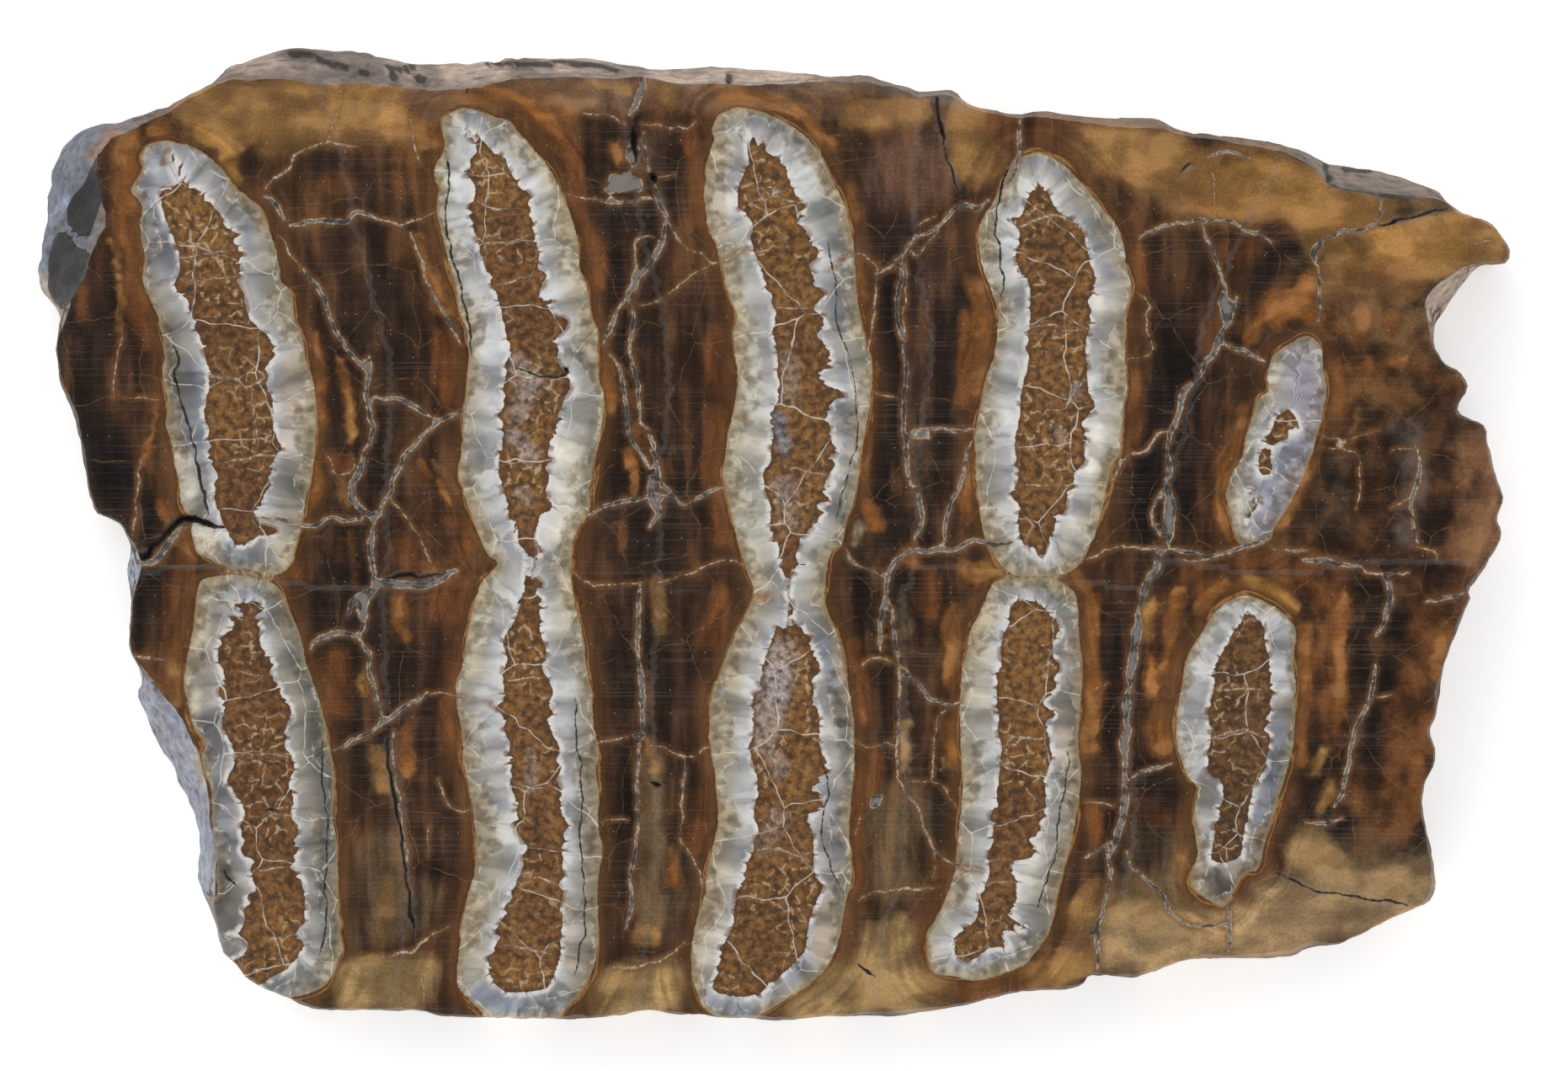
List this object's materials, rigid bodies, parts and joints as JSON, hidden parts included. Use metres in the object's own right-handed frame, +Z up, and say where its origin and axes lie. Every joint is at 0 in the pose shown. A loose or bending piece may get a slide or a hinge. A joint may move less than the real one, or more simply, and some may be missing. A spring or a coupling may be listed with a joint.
{
  "type": "woolly mammoth tooth slice",
  "caption": "Flat sawn and polished slab of fossil mammoth molar with closed enamel loops and a broken natural edge, lying on its sawn back.",
  "frame": {"origin": "middle of the slab's box, on the plane of the sawn back that it rests on", "axes": "+Z up out of the polished face; +X along the slab's long side, towards the edge with the pointed corner; +Y across the slab, towards the edge with the natural crust"},
  "size_m": [0.1098, 0.0724, 0.009],
  "materials": {
    "fossil_tooth": "mineralised tooth: polished dark brown cementum, blue-grey and cream enamel bands, granular brown dentine; rough pinkish grey natural skin at the edge"
  },
  "bodies": {
    "root": {"tooth_slice": "fossil_tooth"}
  },
  "joints": []
}
